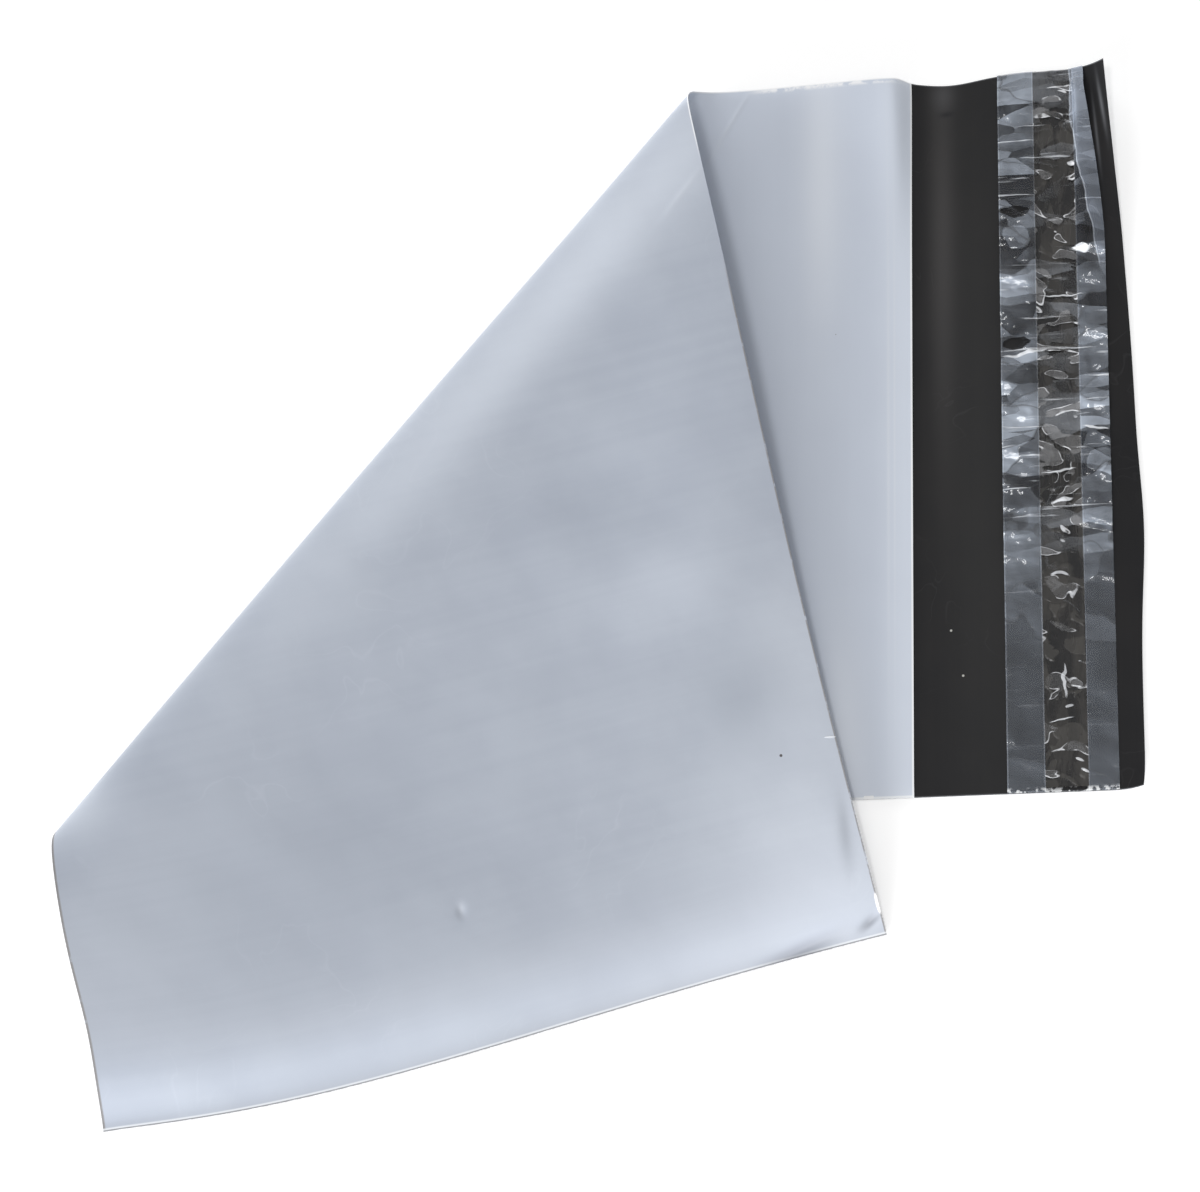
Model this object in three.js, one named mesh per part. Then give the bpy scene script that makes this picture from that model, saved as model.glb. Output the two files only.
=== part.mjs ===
import * as THREE from 'three';

// A poly mailer bag lying on a table, folded over on itself along a diagonal.
// Millimetres, +Z up. +X runs from the closed bottom towards the sealing flap, +Y across the bag.
// The flat bag has x = 0 at the mouth, and y = 0 at the side edge that lies nearer the viewer.

// The bag as it is cut and welded
const bag_width = 152.4;
const pouch_length = 228.6;
const flap_length = 42.6;
const film_thickness = 0.06;
const panel_slack = 0.3;
const side_weld_width = 1.5;
const bottom_seal_width = 1.5;

// The closure on the flap
const mouth_to_liner = 17.3;
const liner_width = 20.6;
const liner_thickness = 0.05;
const liner_to_adhesive = 7.0;
const adhesive_width = 8;
const adhesive_thickness = 0.15;
const adhesive_end_margin = 1;
const seat_clearance = 0.3;
const liner_ripple = 0.35;
const liner_ripple_pitch = 13;

// The diagonal fold line, by its distance from the mouth along each side edge
const fold_from_mouth_near = 167;
const fold_from_mouth_far = 45.5;

// The section of the soft roll, seen along the fold line
const roll_nose_radius = 3.6;
const roll_nose_height = 3.6;
const roll_crest_height = 9.2;
const roll_settle_length = 54;
const roll_settle_power = 2.2;
const roll_foot_reach = 70;
const roll_bulge = 0.7;
const roll_bulge_reach = 20;
const near_side_settle_share = 0.45;
const near_side_settle_reach = 70;
const layer_clearance = 0.3;
const bottom_drop_length = 8;
const bottom_drop_power = 1.6;

// Slack in the panel that lies on the table, along its far side edge and up into the roll
const far_edge_lift = 2.7;
const far_edge_lift_reach = 24;
const far_edge_lift_fade = 45;
const far_edge_lift_end = 1.4;
const nose_lift_reach = 10;

// Where the free side edge of the folded part stands off, by its distance from the nose
const side_hover = { height: 2.5, reach: 35, at: 52, spread: 32 };

// Where the edges of the film wander from straight lines. A draw is how far in, its middle and
// half width along the bag, and how deep it reaches into the panel. The first two are placed from
// the closed bottom, and the third from the mouth
const bottom_bow = 3.2;
const bottom_bow_reach = 50;
const bottom_bow_skew = 0.6;
const near_side_draw = { depth: 1.5, at: 15.6 - pouch_length, spread: 15, reach: 24 };
const far_side_draw = { depth: 1.15, at: 63.6 - pouch_length, spread: 65, reach: 30 };
const flap_side_draw = { depth: 1.6, at: 7.5, spread: 8, reach: 18 };

// The flap's cut edge and the liner's outer edge, by shares of the bag's width
const flap_edge_bulge = { depth: 1.1, at: 0.34, spread: 0.105 };
const flap_edge_taper = { depth: 1.6, from: 0.49, to: 0.85 };
const flap_corner_taper = { depth: 1.2, from: 0.735, to: 0.985 };
const liner_taper = { depth: 4.6, from: 0.735, to: 1.15 };

// Corners of the flap that roll up off the table
const far_corner_roll = { start: 13, reach: 62, radius: 12 };
const near_corner_roll = { start: 6, reach: 8, radius: 7 };

// How finely the film is drawn
const rows_bottom = 11;
const rows_roll = 30;
const rows_pouch = 9;
const rows_flap = 16;
const columns_across = 22;
const column_crowding = 0.6;
const columns_ribbon = 46;
const rows_adhesive = 3;
const rows_liner = 7;
const section_samples = 400;
const roll_rows_from = 40;
const roll_rows_to = -25;
const roll_rows_middle = 5;
const roll_rows_power = 1.6;
const rows_bottom_power = 1.3;

const pouch_stack = 2 * film_thickness + panel_slack;
const settled_height = 2 * pouch_stack + layer_clearance;
const adhesive_from = mouth_to_liner + liner_to_adhesive;
const adhesive_underside = film_thickness + seat_clearance;
const liner_underside = adhesive_underside + adhesive_thickness + seat_clearance;
const closure_height = liner_underside + liner_thickness + 2 * liner_ripple;

// Directions of the fold line, and across it towards the part that is folded over
const fold_start = new THREE.Vector2(-fold_from_mouth_near, 0);
const fold_end = new THREE.Vector2(-fold_from_mouth_far, bag_width);
const fold_length = fold_start.distanceTo(fold_end);
const fold_along = fold_end.clone().sub(fold_start).normalize();
const fold_across = new THREE.Vector2(-fold_along.y, fold_along.x);

// A bell curve: 1 at 0, and nearly gone two half widths away.
function bell(distance) {
  return Math.exp(-(distance ** 2));
}

// Rises steeply from 0 as a round nose does, and levels out at 1.
function noseCurve(distance, scale) {
  return Math.sqrt(distance / (distance + scale));
}

// Height of the layer on the table under the roll, at a distance in from the nose of the roll.
function lowerBranch(distance) {
  const scale = roll_nose_height ** 2 / (2 * roll_nose_radius);
  const fade = Math.max(0, 1 - (distance / roll_foot_reach) ** 2) ** 2;
  return roll_nose_height * (1 - noseCurve(distance, scale)) * fade;
}

// Height of the layer on top: round the nose, over a low crest, and down onto the layer below.
function upperBranch(distance) {
  const rise = roll_crest_height - roll_nose_height;
  const scale = rise ** 2 / (2 * roll_nose_radius);
  const settle = 1 / (1 + (distance / roll_settle_length) ** roll_settle_power);
  const body = roll_nose_height - settled_height + rise * noseCurve(distance, scale);
  return settled_height + body * settle;
}

// Table of film length against distance from the nose, for one branch of the section.
function lengthTable(branch, reach) {
  const distances = [0];
  const lengths = [0];
  for (let i = 1; i <= section_samples; i += 1) {
    const distance = reach * (i / section_samples) ** 2;
    const last = distances[i - 1];
    const step = Math.hypot(distance - last, branch(distance) - branch(last));
    distances.push(distance);
    lengths.push(lengths[i - 1] + step);
  }
  return { distances, lengths, excess: lengths[section_samples] - reach };
}

const section_reach = pouch_length + bag_width;
const lower_table = lengthTable(lowerBranch, section_reach);
const upper_table = lengthTable(upperBranch, section_reach);
const nose_length = (lower_table.excess - upper_table.excess) / 2;
const nose_place = -(lower_table.excess + upper_table.excess) / 2;

// Distance from the nose at which the film has run a given length.
function distanceAt(table, length) {
  let low = 0;
  let high = table.lengths.length - 1;
  while (high - low > 1) {
    const middle = (low + high) >> 1;
    if (table.lengths[middle] > length) high = middle;
    else low = middle;
  }
  const share = (length - table.lengths[low]) / (table.lengths[high] - table.lengths[low]);
  return table.distances[low] + share * (table.distances[high] - table.distances[low]);
}

// Place across the fold, and height, of film that lies a given length past the fold line.
function rollSection(past) {
  const folded = past >= nose_length;
  const table = folded ? upper_table : lower_table;
  const distance = distanceAt(table, Math.abs(past - nose_length));
  const height = folded ? upperBranch(distance) : lowerBranch(distance);
  return { across: nose_place - distance, distance, height, folded };
}

// The same height, sunk further near the near side edge, where nothing lies below.
function settledHeight(section, y) {
  const inside = THREE.MathUtils.smoothstep(y, 0, near_side_settle_reach);
  const share = THREE.MathUtils.lerp(near_side_settle_share, 1, inside);
  const full = 1 + (section.distance / roll_settle_length) ** roll_settle_power;
  const sunk = 1 + (section.distance / (roll_settle_length * share)) ** roll_settle_power;
  return settled_height + ((section.height - settled_height) * full) / sunk;
}

// Extra height where the folded part's free side edge stands off.
function sideHover(distance, y) {
  const from_edge = (bag_width - y) / side_hover.reach;
  return side_hover.height * bell(from_edge) * bell((distance - side_hover.at) / side_hover.spread);
}

// How far a side edge is drawn in, and where that leaves a place across the bag.
function edgeDraw(x, from_edge, draw) {
  return draw.depth * bell((x - draw.at) / draw.spread) * bell(from_edge / draw.reach);
}

function drawnIn(x, y) {
  const from_far_edge = bag_width - y;
  return y + edgeDraw(x, y, near_side_draw) - edgeDraw(x, from_far_edge, far_side_draw)
    - edgeDraw(x, from_far_edge, flap_side_draw);
}

// How far the closed bottom edge bows out, more so towards the near side edge.
function bottomBow(x, y) {
  const share = THREE.MathUtils.clamp(y / bag_width, 0, 1);
  const bow = bottom_bow * Math.sin(Math.PI * share ** bottom_bow_skew) ** 2;
  return bow * bell((x + pouch_length) / bottom_bow_reach);
}

// Length of the flap, and width of the liner, at a share of the way across the bag.
function taperAt(share, taper) {
  return taper.depth * THREE.MathUtils.smoothstep(share, taper.from, taper.to);
}

function flapLengthAt(share) {
  const bulge = flap_edge_bulge.depth * bell((share - flap_edge_bulge.at) / flap_edge_bulge.spread);
  return flap_length + bulge - taperAt(share, flap_edge_taper) - taperAt(share, flap_corner_taper);
}

function linerWidthAt(share) {
  return liner_width - taperAt(share, liner_taper);
}

// Share of its full height that the folded part has, at a distance from the closed bottom edge.
function bottomDrop(from_edge) {
  return 1 - Math.exp(-((Math.max(from_edge, 0) / bottom_drop_length) ** bottom_drop_power));
}

// Slack between the two panels: none at the bottom and side welds, full in the middle.
function slackAt(x, y) {
  const from_side = Math.min(y, bag_width - y);
  const side = 1 - Math.exp(-from_side / side_weld_width);
  return panel_slack * side * bottomDrop(x + pouch_length);
}

// Soft lift of the panel on the table along its far side edge, fading back from the mouth.
function tableLift(x, y) {
  const from_far_edge = (bag_width - y) / far_edge_lift_reach;
  const before_mouth = 0.5 - 0.5 * Math.tanh((x + far_edge_lift_end) / far_edge_lift_end);
  const fade = Math.exp(Math.min(x, 0) / far_edge_lift_fade);
  return far_edge_lift * bell(from_far_edge) * before_mouth * fade;
}

// Rolls a corner of the flap up about a line across it: an arc whose length is the film's length.
function rollCorner(point, roll, corner_y, side) {
  const across = new THREE.Vector2(roll.reach, side * roll.start).normalize();
  const from_x = point.x - (flap_length - roll.start);
  const past = from_x * across.x + (point.y - corner_y) * across.y;
  if (past <= 0) return;
  const angle = past / roll.radius;
  const pulled_in = past - roll.radius * Math.sin(angle);
  point.x -= pulled_in * across.x;
  point.y -= pulled_in * across.y;
  point.z += roll.radius * (1 - Math.cos(angle));
}

// Where a point of the flat bag lies in space, on the outer face of the panel that carries the flap.
function placeFilm(x, y) {
  const flat = new THREE.Vector2(x - bottomBow(x, y), drawnIn(x, y)).sub(fold_start);
  const along = flat.dot(fold_along);
  const section = rollSection(flat.dot(fold_across));
  const share_along = THREE.MathUtils.clamp(along / fold_length, 0, 1);
  const bulge = roll_bulge * Math.sin(Math.PI * share_along);
  const across = section.across + bulge * bell(section.distance / roll_bulge_reach);
  const point = new THREE.Vector3(
    fold_start.x + along * fold_along.x + across * fold_across.x,
    fold_start.y + along * fold_along.y + across * fold_across.y,
    section.height,
  );
  const at_nose = bell(section.distance / nose_lift_reach);
  if (section.folded) {
    const seal = 2 * film_thickness;
    const over = settledHeight(section, y) + sideHover(section.distance, y);
    point.z = seal + (over - seal) * bottomDrop(x + pouch_length);
    // Where the folded part reaches past the mouth, it rides up over the closure on the flap
    point.z += closure_height * THREE.MathUtils.smoothstep(point.x, 0, mouth_to_liner);
  } else {
    point.z += tableLift(x, y) * (1 - at_nose);
  }
  const nose_x = fold_start.x + along * fold_along.x;
  const nose_y = fold_start.y + along * fold_along.y;
  point.z += tableLift(nose_x, nose_y) * at_nose;
  if (x > 0) {
    rollCorner(point, far_corner_roll, bag_width, 1);
    rollCorner(point, near_corner_roll, 0, -1);
  }
  return point;
}

// The same point, moved off the film along its normal, towards the inside of the bag.
const normal_step = 0.02;
function placeOffFilm(x, y, offset) {
  const along_x = placeFilm(x + normal_step, y).sub(placeFilm(x - normal_step, y));
  const along_y = placeFilm(x, y + normal_step).sub(placeFilm(x, y - normal_step));
  const normal = along_x.cross(along_y).normalize();
  return placeFilm(x, y).addScaledVector(normal, offset);
}

// Collects points and outward faces into one closed body.
class Body {
  constructor() {
    this.points = [];
    this.faces = [];
  }

  point(vector) {
    this.points.push(vector.x, vector.y, vector.z);
    return this.points.length / 3 - 1;
  }

  // A face of any number of corners, listed anticlockwise as seen from outside.
  face(...corners) {
    for (let i = 1; i < corners.length - 1; i += 1) {
      this.faces.push(corners[0], corners[i], corners[i + 1]);
    }
  }

  // A skin over a grid of points, facing up or down, with its cells split the same way in both.
  skin(grid, up) {
    for (let i = 0; i < grid.length - 1; i += 1) {
      for (let j = 0; j < grid[i].length - 1; j += 1) {
        const near = grid[i][j];
        const far = grid[i + 1][j + 1];
        if (up) this.face(near, grid[i + 1][j], far, grid[i][j + 1]);
        else this.face(near, grid[i][j + 1], far, grid[i + 1][j]);
      }
    }
  }

  // A narrow wall from a line of points below to the matching line above.
  wall(below, above) {
    for (let i = 0; i < below.length - 1; i += 1) {
      this.face(below[i], below[i + 1], above[i + 1], above[i]);
    }
  }

  mesh(name, colour, roughness, extra = {}) {
    const geometry = new THREE.BufferGeometry();
    geometry.setAttribute('position', new THREE.Float32BufferAttribute(this.points, 3));
    geometry.setIndex(this.faces);
    geometry.computeVertexNormals();
    const settings = { color: colour, roughness, metalness: 0, ...extra };
    const mesh = new THREE.Mesh(geometry, new THREE.MeshStandardMaterial(settings));
    mesh.name = name;
    return mesh;
  }
}

// A line of points across a grid, by column.
function column(grid, j) {
  return grid.map((row) => row[j]);
}

// Lines across the flat bag, from the closed bottom through the fold to the mouth, then the flap.
// Each is a function of the share of the way across. Lines near the fold run parallel to it.
function filmLines() {
  const lines = [];
  const foldLine = (past) => (share) => {
    const on_fold = THREE.MathUtils.lerp(-fold_from_mouth_near, -fold_from_mouth_far, share);
    return on_fold + past / fold_across.x;
  };
  const straight = (x) => () => x;
  const between = (from, to, share_of_way) => (share) =>
    THREE.MathUtils.lerp(from(share), to(share), share_of_way);
  const bottom = straight(-pouch_length);
  const roll_top = foldLine(roll_rows_from);
  const roll_table = foldLine(roll_rows_to);
  lines.push(bottom, straight(bottom_seal_width - pouch_length));
  const sealed = lines[1];
  for (let i = 1; i < rows_bottom; i += 1) {
    lines.push(between(sealed, roll_top, (i / rows_bottom) ** rows_bottom_power));
  }
  for (let i = 0; i <= rows_roll; i += 1) {
    const t = 1 - (2 * i) / rows_roll;
    const half = t > 0 ? roll_rows_from - roll_rows_middle : roll_rows_middle - roll_rows_to;
    lines.push(foldLine(roll_rows_middle + half * Math.sign(t) * Math.abs(t) ** roll_rows_power));
  }
  for (let i = 1; i <= rows_pouch; i += 1) {
    lines.push(between(roll_table, straight(0), i / rows_pouch));
  }
  const mouth = lines.length - 1;
  for (let i = 1; i <= rows_flap; i += 1) {
    lines.push(between(straight(0), flapLengthAt, i / rows_flap));
  }
  return { lines, mouth };
}

// Places across the bag: a narrow weld at each side edge, and steps that are finer near the edges.
function filmColumns() {
  const inner = bag_width - 2 * side_weld_width;
  const places = [0];
  for (let j = 0; j <= columns_across; j += 1) {
    const share = j / columns_across;
    const crowded = share - (column_crowding * Math.sin(2 * Math.PI * share)) / (2 * Math.PI);
    places.push(side_weld_width + inner * crowded);
  }
  places.push(bag_width);
  return places;
}

// The film: one web, folded at the bottom and welded at both sides into a pouch that is open at
// the mouth. The panel underneath runs on past the mouth as the sealing flap.
function bagFilm() {
  const body = new Body();
  const { lines, mouth } = filmLines();
  const across = filmColumns();
  const last = across.length - 1;
  const grid = (from, to, first, end, offset) => {
    const rows = [];
    for (let i = from; i <= to; i += 1) {
      const row = [];
      for (let j = first; j <= end; j += 1) {
        const y = across[j];
        const x = lines[i](y / bag_width);
        row.push(body.point(placeOffFilm(x, y, offset(x, y))));
      }
      rows.push(row);
    }
    return rows;
  };
  const end = lines.length - 1;
  const outer_back = grid(0, end, 0, last, () => 0);
  const outer_front = grid(0, mouth, 0, last, (x, y) => 2 * film_thickness + slackAt(x, y));
  const inner_front = grid(1, mouth, 1, last - 1, (x, y) => film_thickness + slackAt(x, y));
  const inner_back = grid(1, mouth - 1, 1, last - 1, () => film_thickness);
  const flap_face = grid(mouth, end, 0, last, () => film_thickness);
  inner_back.push(flap_face[0].slice(1, last));
  const mouth_front = outer_front[mouth];
  const mouth_inside = inner_front[mouth - 1];

  body.skin(outer_back, false);
  body.skin(outer_front, true);
  body.skin(inner_front, false);
  body.skin(inner_back, true);
  body.skin(flap_face, true);

  // Inside of the pouch: the bottom seal and the two side welds
  const inner_last = inner_back[0].length - 1;
  body.wall(inner_back[0], inner_front[0]);
  body.wall(column(inner_front, 0), column(inner_back, 0));
  body.wall(column(inner_back, inner_last), column(inner_front, inner_last));

  // Outside edges: the closed bottom, the flap's cut edge, and both sides
  body.wall(outer_front[0], outer_back[0]);
  body.wall(outer_back[end], flap_face[flap_face.length - 1]);
  body.wall(column(outer_back, 0).slice(0, mouth), column(outer_front, 0).slice(0, mouth));
  body.wall(column(outer_front, last).slice(0, mouth), column(outer_back, last).slice(0, mouth));
  body.wall(column(outer_back, 0).slice(mouth), column(flap_face, 0));
  body.wall(column(flap_face, last), column(outer_back, last).slice(mouth));
  const before = mouth - 1;
  body.face(outer_back[before][0], outer_back[mouth][0], flap_face[0][0], mouth_front[0],
    outer_front[before][0]);
  body.face(outer_front[before][last], mouth_front[last], flap_face[0][last],
    outer_back[mouth][last], outer_back[before][last]);

  // The mouth: the front panel's cut edge, and the end of each side weld
  body.wall(mouth_inside, mouth_front.slice(1, last));
  body.face(flap_face[0][0], flap_face[0][1], mouth_inside[0], mouth_front[1], mouth_front[0]);
  body.face(flap_face[0][last], mouth_front[last], mouth_front[last - 1],
    mouth_inside[inner_last], flap_face[0][last - 1]);
  return body.mesh('bag_film', 0xb4bcc8, 0.4);
}

// A thin ribbon that lies along the flap, given its edges and the height of its underside.
function ribbon(name, size, underside, colour, roughness, extra) {
  const body = new Body();
  const place = (i, j, thickness) => {
    const y = THREE.MathUtils.lerp(size.y_from, size.y_to, j / columns_ribbon);
    const x = size.x_from + (size.widthAt(y / bag_width) * i) / size.rows;
    return body.point(placeOffFilm(x, y, underside(x, y) + thickness));
  };
  const face = (thickness) => {
    const rows = [];
    for (let i = 0; i <= size.rows; i += 1) {
      const row = [];
      for (let j = 0; j <= columns_ribbon; j += 1) row.push(place(i, j, thickness));
      rows.push(row);
    }
    return rows;
  };
  const under = face(0);
  const top = face(size.thickness);
  body.skin(under, false);
  body.skin(top, true);
  body.wall(top[0], under[0]);
  body.wall(under[size.rows], top[size.rows]);
  body.wall(column(under, 0), column(top, 0));
  body.wall(column(top, columns_ribbon), column(under, columns_ribbon));
  return body.mesh(name, colour, roughness, extra);
}

function adhesiveStrip() {
  const size = {
    x_from: adhesive_from,
    widthAt: () => adhesive_width,
    y_from: adhesive_end_margin,
    y_to: bag_width - adhesive_end_margin,
    thickness: adhesive_thickness,
    rows: rows_adhesive,
  };
  return ribbon('adhesive_strip', size, () => adhesive_underside, 0x4a4644, 0.3);
}

// The liner's free margins stand in soft waves beside the adhesive that holds its middle.
function releaseLiner() {
  const size = {
    x_from: mouth_to_liner,
    widthAt: linerWidthAt,
    y_from: 0,
    y_to: bag_width,
    thickness: liner_thickness,
    rows: rows_liner,
  };
  const adhesive_middle = adhesive_from + adhesive_width / 2;
  const underside = (x, y) => {
    const free = Math.min(Math.abs(x - adhesive_middle) / (liner_width / 2), 1);
    const wave = 1 + Math.sin((2 * Math.PI * y) / liner_ripple_pitch);
    return liner_underside + liner_ripple * free * free * wave;
  };
  return ribbon('release_liner', size, underside, 0x9aa0a6, 0.12,
    { transparent: true, opacity: 0.5 });
}

const mailer = new THREE.Group();
mailer.add(bagFilm(), adhesiveStrip(), releaseLiner());

// The origin is under the middle of the whole bag, at the height of the table
const extent = new THREE.Box3().setFromObject(mailer);
const middle = extent.getCenter(new THREE.Vector3());
for (const mesh of mailer.children) {
  mesh.geometry.translate(-middle.x, -middle.y, -extent.min.z);
}

export default mailer;
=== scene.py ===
"""A plastic film mailing bag that lies folded over on itself, with its flap open."""

import bpy
import numpy as np
from mathutils import Matrix, Vector


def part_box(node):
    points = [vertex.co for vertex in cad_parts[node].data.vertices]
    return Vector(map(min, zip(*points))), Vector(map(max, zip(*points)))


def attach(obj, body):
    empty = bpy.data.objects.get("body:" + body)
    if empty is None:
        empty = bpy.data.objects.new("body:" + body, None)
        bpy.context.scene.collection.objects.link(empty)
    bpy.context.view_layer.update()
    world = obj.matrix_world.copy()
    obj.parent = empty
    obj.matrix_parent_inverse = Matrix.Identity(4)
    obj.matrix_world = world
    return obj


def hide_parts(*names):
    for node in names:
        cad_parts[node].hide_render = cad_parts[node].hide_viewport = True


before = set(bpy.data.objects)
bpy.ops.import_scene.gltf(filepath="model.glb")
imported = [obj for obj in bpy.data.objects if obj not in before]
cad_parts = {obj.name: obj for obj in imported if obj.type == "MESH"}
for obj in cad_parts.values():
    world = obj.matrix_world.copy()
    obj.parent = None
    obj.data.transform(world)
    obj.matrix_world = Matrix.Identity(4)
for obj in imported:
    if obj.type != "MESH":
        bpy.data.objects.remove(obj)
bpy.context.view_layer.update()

MM = 0.001

# The flat bag, in millimetres: x = 0 at the mouth and grows towards the flap's cut edge,
# y = 0 at the side edge nearer the viewer
BAG_WIDTH = 152.4
POUCH_LENGTH = 228.6
FLAP_LENGTH = 42.6
FILM_THICKNESS = 0.06
PANEL_SLACK = 0.3
SIDE_WELD_WIDTH = 1.5
BOTTOM_SEAL_WIDTH = 1.5
MOUTH_TO_LINER = 17.3
LINER_WIDTH = 20.6
LINER_THICKNESS = 0.05
LINER_TO_ADHESIVE = 7.0
ADHESIVE_WIDTH = 8.0
ADHESIVE_THICKNESS = 0.15
ADHESIVE_END_MARGIN = 1.0
ADHESIVE_GAP = 0.02

# The diagonal fold line, and the section of the soft roll along it
FOLD_NEAR = -167.0
FOLD_FAR = -45.5
NOSE_RADIUS = 3.6
NOSE_HEIGHT = 3.6
CREST_HEIGHT = 9.2
SETTLE_LENGTH = 54.0
SETTLE_POWER = 2.2
ROLL_FOOT_REACH = 70.0
NEAR_SIDE_SETTLE_SHARE = 0.62
NEAR_SIDE_SETTLE_REACH = 120.0
LAYER_CLEARANCE = 0.3
BOTTOM_DROP_LENGTH = 8.0
BOTTOM_DROP_POWER = 1.6
ROLL_BULGE = 0.7
ROLL_BULGE_REACH = 20.0
SIDE_HOVER = 2.5
SIDE_HOVER_REACH = 35.0
SIDE_HOVER_AT = 52.0
SIDE_HOVER_SPREAD = 32.0

# Where the film's edges wander from straight lines. A bell curve gives how far, its middle
# and half width along the edge, and how deep it reaches into the panel. A taper gives how
# much is cut off, and where along the edge it starts and is full
BOTTOM_BOW = 3.2
BOTTOM_BOW_REACH = 50.0
NEAR_SIDE_DRAW = {"depth": 1.5, "at": -213.0, "spread": 15.0, "reach": 24.0}
FAR_SIDE_DRAW = {"depth": 1.15, "at": -165.0, "spread": 65.0, "reach": 30.0}
FLAP_SIDE_DRAW = {"depth": 1.6, "at": 7.5, "spread": 8.0, "reach": 18.0}
FLAP_EDGE_BULGE = {"out": 1.1, "at": 52.0, "spread": 16.0}
FLAP_EDGE_TAPERS = ((1.6, 75.0, 130.0), (1.2, 112.0, 150.0))
LINER_NARROWING = 4.6
LINER_NARROWS_FROM = 112.0
LINER_NARROWS_TO = 175.3

# Slack along the far side edge, and the corners of the flap that roll up
FAR_EDGE_LIFT = 2.7
FAR_EDGE_REACH = 24.0
FAR_EDGE_FADE = 45.0
FAR_EDGE_END = 1.4
NOSE_LIFT_REACH = 10.0
FAR_CORNER = {"start": 13.0, "reach": 62.0, "radius": 12.0, "y": BAG_WIDTH, "side": 1.0}
NEAR_CORNER = {"start": 6.0, "reach": 8.0, "radius": 7.0, "y": 0.0, "side": -1.0}

LENGTH_TABLE_STEPS = 1600
NORMAL_STEP = 0.02

POUCH_STACK = 2 * FILM_THICKNESS + PANEL_SLACK
SETTLED_HEIGHT = 2 * POUCH_STACK + LAYER_CLEARANCE
ADHESIVE_FROM = MOUTH_TO_LINER + LINER_TO_ADHESIVE

FOLD_START = np.array([FOLD_NEAR, 0.0])
FOLD_END = np.array([FOLD_FAR, BAG_WIDTH])
FOLD_ALONG = (FOLD_END - FOLD_START) / np.linalg.norm(FOLD_END - FOLD_START)
FOLD_ACROSS = np.array([-FOLD_ALONG[1], FOLD_ALONG[0]])


# Shape of the folded film

def nose_curve(distance, scale):
    """Square root of distance over distance plus scale: steep at 0, level at 1 far away."""
    return np.sqrt(distance / (distance + scale))


def lower_branch(distance):
    """Height under the roll: the nose's height times one minus the nose curve, faded to 0."""
    scale = NOSE_HEIGHT ** 2 / (2 * NOSE_RADIUS)
    fade = np.clip(1 - (distance / ROLL_FOOT_REACH) ** 2, 0, 1) ** 2
    return NOSE_HEIGHT * (1 - nose_curve(distance, scale)) * fade


def upper_branch(distance):
    """Height over the roll: up the nose curve to the crest, times a slow settling curve."""
    rise = CREST_HEIGHT - NOSE_HEIGHT
    scale = rise ** 2 / (2 * NOSE_RADIUS)
    settle = 1 / (1 + (distance / SETTLE_LENGTH) ** SETTLE_POWER)
    body = NOSE_HEIGHT - SETTLED_HEIGHT + rise * nose_curve(distance, scale)
    return SETTLED_HEIGHT + body * settle


def settled(distance, height, y):
    """A height over the roll, sunk further near the near side edge, where nothing lies below."""
    inside = smooth_step(y, 0, NEAR_SIDE_SETTLE_REACH)
    share = NEAR_SIDE_SETTLE_SHARE + (1 - NEAR_SIDE_SETTLE_SHARE) * inside
    full = 1 + (distance / SETTLE_LENGTH) ** SETTLE_POWER
    sunk = 1 + (distance / (SETTLE_LENGTH * share)) ** SETTLE_POWER
    return SETTLED_HEIGHT + (height - SETTLED_HEIGHT) * full / sunk


def bottom_bow(y):
    """How far the closed edge bows out: a squared sine, fuller towards the near side edge."""
    share = np.clip(y / BAG_WIDTH, 0, 1)
    return BOTTOM_BOW * np.sin(np.pi * share ** 0.6) ** 2


def edge_draw(x, from_edge, draw):
    """How far a side edge is drawn in: a bell curve along the bag, fading into the panel."""
    along = (x - draw["at"]) / draw["spread"]
    return draw["depth"] * np.exp(-along ** 2 - (from_edge / draw["reach"]) ** 2)


def drawn_in(x, y):
    """y of the film once its side edges have wandered inwards."""
    from_far = BAG_WIDTH - y
    inwards = edge_draw(x, from_far, FAR_SIDE_DRAW) + edge_draw(x, from_far, FLAP_SIDE_DRAW)
    return y + edge_draw(x, y, NEAR_SIDE_DRAW) - inwards


def smooth_step(value, start, end):
    """0 before start, 1 past end, and the cubic 3 t t - 2 t t t between them."""
    t = np.clip((value - start) / (end - start), 0, 1)
    return t * t * (3 - 2 * t)


def flap_edge(y):
    """x of the flap's cut edge: its length with a soft bulge, and less towards the far corner."""
    along = (y - FLAP_EDGE_BULGE["at"]) / FLAP_EDGE_BULGE["spread"]
    edge = FLAP_LENGTH + FLAP_EDGE_BULGE["out"] * np.exp(-along ** 2)
    for cut, start, full in FLAP_EDGE_TAPERS:
        edge = edge - cut * smooth_step(y, start, full)
    return edge


def liner_width_at(y):
    """Width of the liner: narrower towards the far end, where its outer margin is turned under."""
    return LINER_WIDTH - LINER_NARROWING * smooth_step(y, LINER_NARROWS_FROM, LINER_NARROWS_TO)


def side_hover(distance, y):
    """Extra height where the folded part's free side edge stands off: two bell curves."""
    from_edge = (BAG_WIDTH - y) / SIDE_HOVER_REACH
    from_middle = (distance - SIDE_HOVER_AT) / SIDE_HOVER_SPREAD
    return SIDE_HOVER * np.exp(-from_edge ** 2 - from_middle ** 2)


def length_table(branch):
    """Distances in from the nose, and the film's length up to each, summed along the branch."""
    reach = POUCH_LENGTH + BAG_WIDTH
    distance = reach * np.linspace(0, 1, LENGTH_TABLE_STEPS) ** 2
    steps = np.hypot(np.diff(distance), np.diff(branch(distance)))
    length = np.concatenate([[0.0], np.cumsum(steps)])
    return distance, length, length[-1] - reach


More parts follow.
